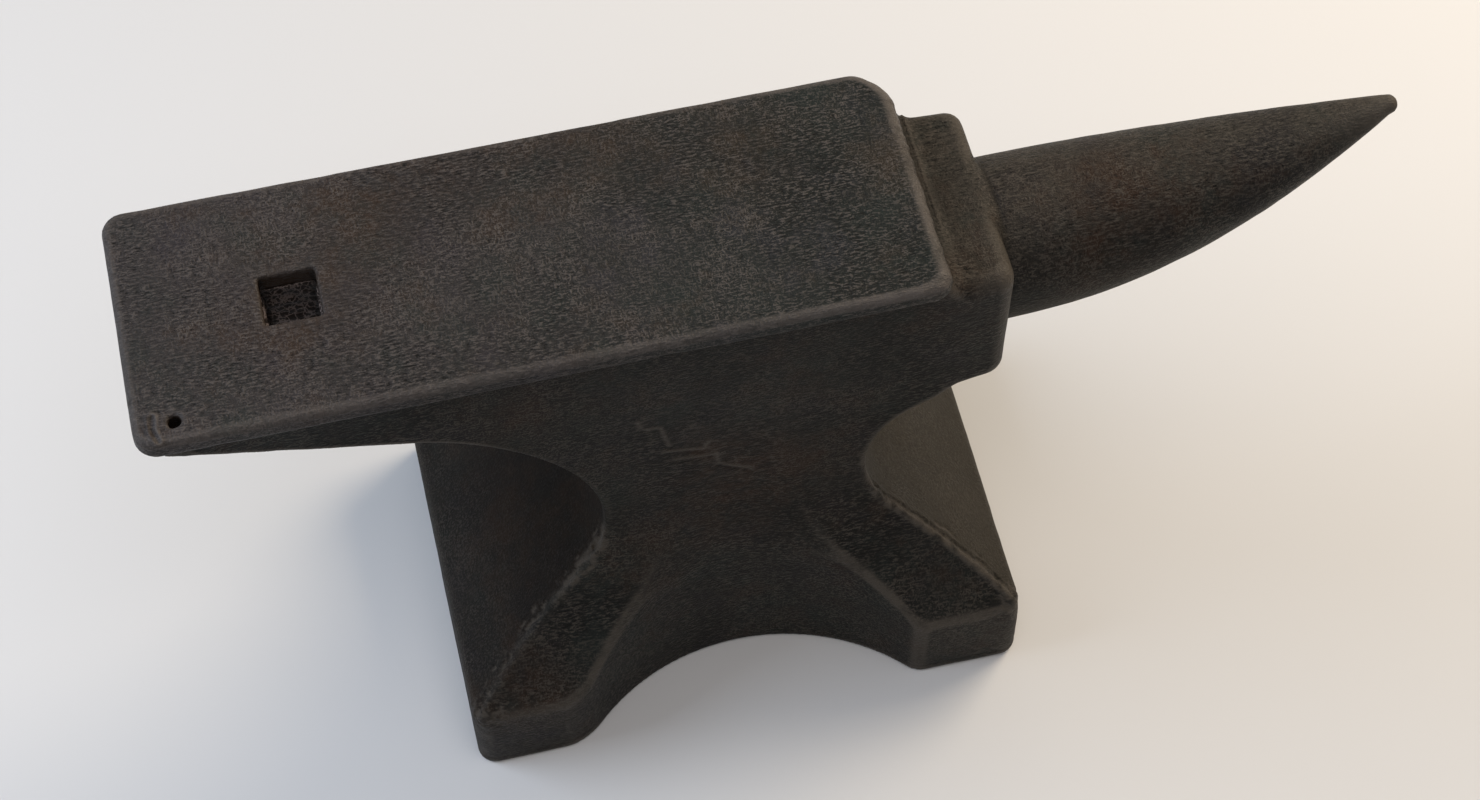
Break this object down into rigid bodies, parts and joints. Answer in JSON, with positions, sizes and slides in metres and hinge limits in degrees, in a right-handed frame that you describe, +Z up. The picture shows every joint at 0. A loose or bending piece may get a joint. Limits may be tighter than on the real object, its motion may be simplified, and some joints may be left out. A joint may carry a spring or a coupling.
{
  "type": "anvil",
  "caption": "Blacksmith's anvil with a flat hardened face, square and round tool holes, a stepped cutting table, a tapered horn and a waisted base on four feet.",
  "frame": {"origin": "centre of the base's flat underside", "axes": "+X towards the horn's tip, +Y to the far side, +Z up out of the face"},
  "size_m": [0.586, 0.194, 0.3],
  "materials": {
    "face_steel": "dark worn hammered steel with rust tints",
    "forged_iron": "dark rough forged iron with rust tints"
  },
  "bodies": {
    "root": {"face_plate": "face_steel", "body_core": "forged_iron", "heel": "forged_iron", "horn": "forged_iron", "foot_heel_near": "forged_iron", "foot_heel_far": "forged_iron", "foot_horn_near": "forged_iron", "foot_horn_far": "forged_iron"}
  },
  "joints": []
}
